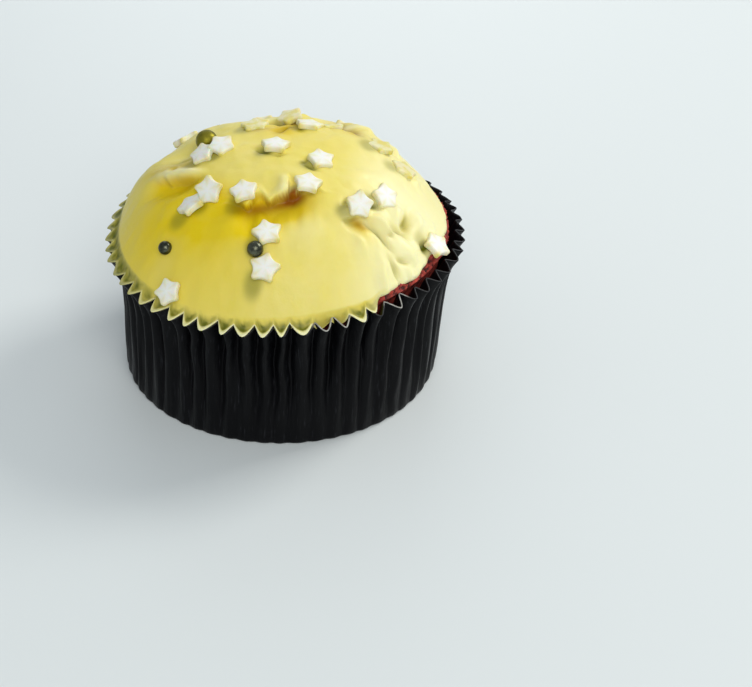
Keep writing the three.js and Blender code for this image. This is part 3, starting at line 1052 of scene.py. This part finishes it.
    def relief(self, x: float, y: float) -> tuple[float, float, float]:
        """The icing's height above the plain dome and its sideways lean.

        Args:
            x: Place in plan.
            y: Place in plan.

        Returns:
            The height, and how far the point moves along x and y.
        """
        height = sum(lump.at(x, y) for lump in self.lumps)
        east, north = 0.0, 0.0
        warp_x = x + self.warp * swell(x * 0.4, y * 0.4, 21.0)
        warp_y = y + self.warp * swell(x * 0.4, y * 0.4, 37.0)
        height += self.crease_height * sum(crease.at(warp_x, warp_y) for crease in self.creases)
        for fold in self.folds:
            rise, lean, _, _ = self.scoop(fold, x, y)
            height += rise
            turn = math.radians(fold.downhill)
            east += lean * math.cos(turn)
            north += lean * math.sin(turn)
        height += 0.28 * swell(x * 0.16, y * 0.16, 2.0)
        height += 0.14 * swell(x * 0.42, y * 0.42, 9.0)
        for crinkle in self.crinkles:
            crease = abs(swell(x * 0.3 + 5, y * 0.3, crinkle.reach)) ** 0.7
            height += crinkle.at(x, y) * (crease - 0.35)
        return height, east, north

    def shade_and_tints(self, x: float, y: float) -> tuple[float, float, float, float]:
        """How the icing is painted at a place in plan: gold, rust, olive and pale, largely painted shade and
        light.
        """
        gold = sum(tint.at(x, y) for tint in self.golds)
        rust = sum(tint.at(x, y) for tint in self.tans)
        under, bead = 0.0, 0.0
        for fold in self.folds:
            _, _, lip, floor = self.scoop(fold, x, y)
            # The scoops' floors under the lips get painted shade in gold.
            gold += fold.gold * floor
            under = max(under, floor)
            bead += fold.lip * lip
        # Rust under the lips: cake showing through thin icing, with painted shade.
        rust += smooth(0.05, 0.5, under) * sum(tint.at(x, y) for tint in self.rusts)
        # Olive paints shade in the creases' valleys.
        olive = sum(max(0.0, -0.8 * crease.at(x, y)) for crease in self.creases)
        # Each star casts a painted olive shadow to its front left.
        for star in self.shadowing_stars:
            dx, dy = x - star.x + self.shadow_x, y - star.y + self.shadow_y
            distance = (dx**2 + dy**2) / self.shadow_reach**2
            if distance < 5:
                olive += self.shadow * math.exp(-distance * distance)
        # The right side, where the light falls, is painted paler, less towards the back: painted light.
        pale = smooth(8, 23, x) * mix(1.0, 0.6, smooth(-10, 4, y)) * (1 - min(1.0, olive))
        gold, rust, bead = min(1.0, gold), min(1.0, rust), min(1.0, bead)
        # The lips' beads get a painted highlight in pale.
        pale = min(1.0, pale + sum(tint.at(x, y) for tint in self.pales) + bead)
        return gold, rust, min(1.0, olive), pale * (1 - rust) * (1 - 0.8 * gold * (1 - bead))

    def plain_face(self, x: float, y: float) -> tuple[Vector, Vector]:
        """The icing's face and its outward direction at a place in plan, for what lies on it.

        Args:
            x: Place in plan.
            y: Place in plan.

        Returns:
            The point in the shared frame, and the normal.
        """
        azimuth = math.atan2(y, x)
        share = self.form.share_at(math.hypot(x, y))
        rim = self.form.rim_height(azimuth)
        radius, height = self.form.section(share, rim)
        out, up = self.form.normal(share, rim)
        rise = (1 - smooth(0.86, 0.97, share)) * self.relief(x, y)[0]
        rise = max(rise, self.least - self.form.icing_thickness(share))
        normal = Vector((out * math.cos(azimuth), out * math.sin(azimuth), up))
        return self.form.place(radius, azimuth, height) + normal * rise, normal

    def face(self, line: Column, plain: float) -> Placed:
        """A point of the icing's upper face.

        Args:
            line: Its column.
            plain: Share of the face from its top to its foot.

        Returns:
            The point, and its painted colours: gold, rust, olive and pale.
        """
        foot = mix(self.foot, line.edge, line.bare)
        wave = math.sin(TURN * (plain - self.crowded_share)) + math.sin(TURN * self.crowded_share)
        plain -= self.crowding * wave
        outside = max(0.0, plain - self.even_share) / (1 - self.even_share)
        share = min(plain, self.even_share) + outside * (foot - self.even_share)
        radius, height = self.form.section(share, line.rim)
        out, up = self.form.normal(share, line.rim)
        cosine, sine = math.cos(line.azimuth), math.sin(line.azimuth)
        x, y = radius * cosine, radius * sine
        rise, east, north = self.relief(x, y)
        fade = 1 - 0.8 * smooth(0.8, 0.93, share) * (1 - line.bare)
        rise = max(rise * fade, self.least - self.form.icing_thickness(share))
        point = self.form.place(radius, line.azimuth, height)
        point += Vector((out * cosine, out * sine, up)) * rise + Vector((east, north, 0)) * fade
        return point, self.shade_and_tints(x, y)

    def apron(self, line: Column, start: Vector, share: float) -> Placed:
        """A point of the icing that runs out over the pleats and rolls over the paper's edge.

        Args:
            line: Its column.
            start: Where the face ends above it.
            share: Share of the way, of which the last third is the roll.

        Returns:
            The point and its painted colours.
        """
        form, roll = self.form, self.roll_radius
        inner = form.crest_radius(1) + line.oval - line.depth * 1.04
        tip = mix(inner, form.wall_radius(1, line) + roll, line.flow)
        edge = form.rim_edge(line) + mix(-0.9, 2 * roll, line.flow)
        foot = math.hypot(start.x + form.rim_shift, start.y)
        way = min(1.0, share / self.roll_from)
        crest = (1 - line.fold) * line.flow
        radius = mix(foot, tip, way)
        height = mix(start.z, edge, 1 - (1 - way) ** 1.7)
        height -= 0.6 * crest * math.sin(math.pi * min(1.0, way * 1.4)) ** 1.3
        height += 0.12 * bell(way, 0.95, 0.07) * line.flow
        if share > self.roll_from:
            turn = math.pi * (share - self.roll_from) / self.roll_span
            radius = tip + roll * math.sin(turn) - 0.4 * smooth(0.5, 1, turn / math.pi)
            height = edge - roll * (1 - math.cos(turn))
        green = form.green_share(line.azimuth)
        # Olive paints shade in the channel of each pleat's crest, mostly in front.
        olive = mix(1.0, 0.5, green) * crest**0.6 * bell(way, 0.5, 0.3, 4)
        ring = form.place(radius, line.azimuth, height)
        # On the left, olive paints thin icing over dark paper with its shade, less on the folds.
        ridged = green * mix(1.0, 0.25 + 0.45 * green**2, line.fold**0.7) * smooth(-0.1, 0.25, way)
        olive = max(olive * (1 - 0.8 * smooth(0.75, 0.9, way)), ridged)
        speckle = noise.noise(ring * 1.3) * smooth(0.0, 0.3, way)
        ring.z += 0.22 * speckle * (1 - smooth(0.6, 0.8, way))
        # The speckle's bumps are painted more olive.
        olive = min(1.0, max(0.0, olive + 0.5 * (0.4 + 0.6 * crest) * speckle))
        # The teeth's outer edges are painted paler, less on the left.
        pale = smooth(0.7, 0.85, way) * line.flow * (1 - 0.75 * green)
        return ring, (0.3 * (1 - way), 0.0, olive, pale)

    def rolled_edge(self, line: Column, start: Vector, share: float) -> Vector:
        """A point of the thick rounded edge over the bare cake.

        Args:
            line: Its column.
            start: Where the face ends above it.
            share: Share of the half turn from the face to the lining.

        Returns:
            The point.
        """
        out, up = self.form.normal(line.edge, line.rim)
        half = 0.6 * self.form.icing_thickness(line.edge) * 0.8
        turn = math.pi * share
        away = Vector((out * math.cos(line.azimuth), out * math.sin(line.azimuth), up))
        down = Vector((up * math.cos(line.azimuth), up * math.sin(line.azimuth), -out))
        return start + away * half * (math.cos(turn) - 1) + down * half * 1.15 * math.sin(turn)

    def zone(self, row: int) -> tuple[Zone, float]:
        """The part of the profile that a row is in, and how far along it.

        Args:
            row: Row from the top of the dome to the middle of the lining.

        Returns:
            The zone, and a share from 0 to 1.
        """
        if row <= self.face_rows:
            return Zone.FACE, row / self.face_rows
        row -= self.face_rows
        if row <= self.edge_rows:
            return Zone.EDGE, row / self.edge_rows
        return Zone.LINING, (row - self.edge_rows) / self.lining_rows

    def place(self, line: Column, row: int) -> Placed:
        """A vertex of the icing.

        Args:
            line: Its column.
            row: Row from the top of the dome to the middle of the lining.

        Returns:
            Its point and its painted colours.
        """
        zone, share = self.zone(row)
        if zone is Zone.FACE:
            return self.face(line, share)
        if zone is Zone.EDGE:
            start, shade_and_tints = self.face(line, 1.0)
            point, tooth_shade_and_tints = self.apron(line, start, share)
            rolled = self.rolled_edge(line, start, share)
            blended = tuple(mix(tooth, face, line.bare) for tooth, face in zip(tooth_shade_and_tints, shade_and_tints))
            return point.lerp(rolled, line.bare), blended
        if row == self.face_rows + self.edge_rows + 1:
            return self.tuck(line), UNTINTED
        reach = mix(self.foot, line.edge, line.bare) * (1 - share)
        radius, height = self.form.section(reach, line.rim)
        out, up = self.form.normal(reach, line.rim)
        sink = self.form.icing_thickness(reach) * mix(1, 0.8, line.bare)
        point = self.form.place(max(0.0, radius - sink * out), line.azimuth, height - sink * up)
        return point, UNTINTED

    def tuck(self, line: Column) -> Vector:
        """Where the icing's underside turns in under its edge, inside the folds of the case."""
        form = self.form
        out, up = form.normal(line.edge, line.rim)
        radius, height = form.section(line.edge, line.rim)
        sink = form.icing_thickness(line.edge) * 0.8
        bare = form.place(radius - sink * out - 0.6 * up, line.azimuth, height - sink * up + 0.6 * out)
        inside = form.crest_radius(1) - line.depth + line.oval - 0.45
        return form.place(inside, line.azimuth, line.rim - 1.5).lerp(bare, line.bare)

    def build(self) -> bpy.types.Object:
        """Builds the icing.

        Returns:
            The piece, which stands for the solid icing.
        """
        rows = self.face_rows + self.edge_rows + self.lining_rows
        names = ("gold", "rust", "olive", "pale")
        bm = wrapped(self.form.columns(self.per_pleat), rows, names, self.place)
        piece = piece_from(bm, "poured_icing", [IcingFinish().build()])
        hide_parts("icing")
        return piece


@dataclass
class SugarStars:
    """Pressed sugar stars with five blunt arms."""

    icing: Icing
    radius: float = 3.4
    waist: float = 0.57
    thickness: float = 1.3
    rounding: float = 0.95
    softness: float = 0.36
    pillow: float = 0.1
    back_count: int = 7
    back_from: float = 62
    back_spread: float = 84
    back_radius: float = 27.0
    back_step: float = 1.5
    stars: tuple[Star, ...] = STARS

    def all_stars(self) -> list[Star]:
        """The stars seen from the front, and those set round the back by equal steps."""
        back = []
        for index in range(self.back_count):
            azimuth = math.radians(self.back_from + index * self.back_spread / self.back_count)
            radius = self.back_radius + self.back_step * ((index * 2) % 3)
            x, y = radius * math.cos(azimuth), radius * math.sin(azimuth)
            back.append(Star(x, y, 31 * index, 7, 50 * index, 0.35))
        return [*self.stars, *back]

    def seat(self, star: Star) -> Matrix:
        """Where a star's underside lies, as a transform in millimetres."""
        point, normal = self.icing.plain_face(star.x, star.y)
        turn = math.radians(star.towards)
        hinge = Vector((-math.sin(turn), math.cos(turn), 0))
        axis = Matrix.Rotation(math.radians(star.lean), 3, hinge) @ normal
        upright = Vector((0, 0, 1)).rotation_difference(axis).to_matrix().to_4x4()
        seat = point + normal * star.lift - axis * (self.thickness / 2)
        return Matrix.Translation(seat) @ upright @ Matrix.Rotation(math.radians(star.turn), 4, "Z")

    def star_mesh(self, stain: float, dice: random.Random) -> bmesh.types.BMesh:
        """One star, flat on z = 0, with its stained rim marked.

        Args:
            stain: How much of the icing's colour is all over it.
            dice: Makes it a little uneven.

        Returns:
            The star's mesh, in millimetres.
        """
        bm = bmesh.new()
        rim = bm.verts.layers.float.new("rim")
        size = self.radius * dice.uniform(0.96, 1.04)
        corners = bmesh.ops.create_circle(bm, cap_ends=True, segments=10, radius=size)["verts"]
        corners.sort(key=lambda vertex: math.atan2(vertex.co.y, vertex.co.x))
        for index, vertex in enumerate(corners):
            angle = TURN * index / 10
            reach = size * (1 if index % 2 == 0 else self.waist) * dice.uniform(0.96, 1.03)
            vertex.co = Vector((reach * math.cos(angle), reach * math.sin(angle), 0))
        bmesh.ops.bevel(
            bm, geom=corners, offset=self.rounding, offset_type="OFFSET", affect="VERTICES",
            segments=4, profile=0.5, material=-1,
        )
        body = bmesh.ops.extrude_face_region(bm, geom=list(bm.faces))["geom"]
        top = [item for item in body if isinstance(item, bmesh.types.BMVert)]
        bmesh.ops.translate(bm, verts=top, vec=(0, 0, self.thickness * dice.uniform(0.94, 1.08)))
        bmesh.ops.recalc_face_normals(bm, faces=bm.faces)
        caps = {face for face in bm.faces if abs(face.normal.z) > 0.9}
        rims = [edge for edge in bm.edges if not caps.isdisjoint(edge.link_faces)]
        bmesh.ops.bevel(
            bm, geom=rims, offset=self.softness, offset_type="OFFSET", affect="EDGES",
            segments=4, profile=0.5, material=-1,
        )
        caps = [face for face in bm.faces if len(face.verts) > 8]
        for middle in bmesh.ops.poke(bm, faces=caps)["verts"]:
            middle.co.z += math.copysign(self.pillow, middle.co.z - self.thickness / 2)
        bmesh.ops.recalc_face_normals(bm, faces=bm.faces)
        for vertex in bm.verts:
            out = smooth(0.4, 0.95, math.hypot(vertex.co.x, vertex.co.y) / size)
            vertex[rim] = min(1.0, stain + out * (1 - stain))
        return bm

    def build(self) -> bpy.types.Object:
        """Builds the stars.

        Returns:
            The piece.
        """
        dice = random.Random(5)
        bm = bmesh.new()
        for star in self.all_stars():
            made = self.star_mesh(star.stain, dice)
            bmesh.ops.transform(made, matrix=Matrix.Scale(MM, 4) @ self.seat(star), verts=made.verts)
            single = bpy.data.meshes.new("single_star")
            made.to_mesh(single)
            made.free()
            bm.from_mesh(single)
            bpy.data.meshes.remove(single)
        piece = piece_from(bm, "sugar_stars", [SugarFinish().build()])
        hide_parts("icing")
        return piece


@dataclass(frozen=True)
class Pearl:
    """Where a pearl sits: place in plan, radius, and how far its middle stands proud."""

    x: float
    y: float
    radius: float
    proud: float


@dataclass
class Pearls:
    """Round sugar pearls of one colour."""

    icing: Icing
    name: str
    finish: PearlFinish
    pearls: tuple[Pearl, ...]

    def build(self) -> bpy.types.Object:
        """Builds the pearls.

        Returns:
            The piece.
        """
        bm = bmesh.new()
        for pearl in self.pearls:
            point, normal = self.icing.plain_face(pearl.x, pearl.y)
            centre = Matrix.Translation((point + normal * pearl.proud) * MM)
            bmesh.ops.create_icosphere(bm, subdivisions=4, radius=pearl.radius * MM, matrix=centre)
        piece = piece_from(bm, self.name, [self.finish.build()])
        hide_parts("icing")
        return piece


@dataclass(frozen=True)
class Light:
    """A square soft light.

    Args:
        name: Its name.
        azimuth: Direction from the cupcake, in degrees.
        elevation: Height above the floor, in degrees.
        away: Distance, in metres.
        size: Side, in metres.
        watts: Its power.
        colour: Its colour.
    """

    name: str
    azimuth: float
    elevation: float
    away: float
    size: float
    watts: float
    colour: Colour

    def hang(self) -> None:
        """Hangs it, facing the cupcake."""
        lamp = bpy.data.lights.new(self.name, "AREA")
        lamp.size = self.size
        lamp.energy = self.watts
        lamp.color = self.colour
        holder = added(self.name, lamp)
        turn, tilt = math.radians(self.azimuth), math.radians(self.elevation)
        direction = Vector((math.cos(tilt) * math.cos(turn), math.cos(tilt) * math.sin(turn), math.sin(tilt)))
        holder.location = direction * self.away + Vector((0, 0, 0.03))
        holder.rotation_euler = direction.to_track_quat("Z", "Y").to_euler()


@dataclass
class Studio:
    """The pale floor, the soft lights and the camera."""

    elevation: float = 33.0
    distance: float = 500.0
    aim: tuple[float, float, float] = (-0.32, 0.0, 20.6)
    lens: float = 120.6
    shift: tuple[float, float] = (0.1237, -0.1017)
    floor_size: float = 4.0
    floor_colour: Colour = srgb(222, 227, 226)
    sky: Colour = srgb(226, 236, 246)
    sky_strength: float = 0.46
    lights: tuple[Light, ...] = (
        Light("key", 30, 37, 0.8, 0.3, 3.1, (1.0, 0.985, 0.95)),
        Light("back", 92, 26, 0.28, 0.2, 0.12, (0.97, 0.99, 1.0)),
        Light("front", -82, 42, 1.1, 0.7, 6.2, (1.0, 0.99, 0.96)),
    )

    def floor(self) -> None:
        """Lays a plain pale floor."""
        bm = bmesh.new()
        bmesh.ops.create_grid(bm, x_segments=1, y_segments=1, size=self.floor_size / 2)
        mesh = bpy.data.meshes.new("floor")
        bm.to_mesh(mesh)
        bm.free()
        look: Inputs = {"Base Color": self.floor_colour, "Roughness": 0.55}
        mesh.materials.append(shaded("floor_pale", lambda tree: look))
        floor = added("floor", mesh)

    def camera(self) -> None:
        """Sets the camera at the photograph's angle."""
        lens = bpy.data.cameras.new("camera")
        lens.lens = self.lens
        lens.sensor_width = 36.0
        lens.shift_x, lens.shift_y = self.shift
        lens.clip_start = 0.01
        holder = added("camera", lens)
        tilt = math.radians(self.elevation)
        back = Vector((0, -math.cos(tilt), math.sin(tilt))) * self.distance
        holder.location = (Vector(self.aim) + back) * MM
        holder.rotation_euler = (math.pi / 2 - tilt, 0, 0)
        bpy.context.scene.camera = holder

    def build(self) -> None:
        """Sets up the floor, the lights, the sky and the camera."""
        scene = bpy.context.scene
        world = bpy.data.worlds.new("sky")
        world.use_nodes = True
        background = world.node_tree.nodes["Background"]
        background.inputs[0].default_value = (*self.sky, 1)
        background.inputs[1].default_value = self.sky_strength
        scene.world = world
        scene.view_settings.view_transform = "Standard"
        self.floor()
        for light in self.lights:
            light.hang()
        self.camera()


def main() -> None:
    """Builds the cupcake piece by piece, and the studio round it."""
    logging.basicConfig(level=logging.INFO, format="%(name)s %(message)s")
    form = Form()
    PaperCase(form).build()
    Cake(form).build()
    icing = Icing(form)
    icing.build()
    SugarStars(icing).build()
    silver = (
        Pearl(-5.0, -23.7, 1.55, 0.75), Pearl(-22.1, -16.6, 1.35, 0.35),
        Pearl(15.2, 24.2, 1.55, 0.8), Pearl(-12.6, 26.0, 1.4, 0.6),
    )
    Pearls(icing, "silver_pearls", PearlFinish(), silver).build()
    gold = PearlFinish("pearl_gold", roughness=0.42, bright=srgb(150, 140, 48), dull=srgb(96, 94, 26))
    Pearls(icing, "gold_pearl", gold, (Pearl(-14.5, 5.2, 2.15, 0.9),)).build()
    Studio().build()


if __name__ == "__main__":
    main()
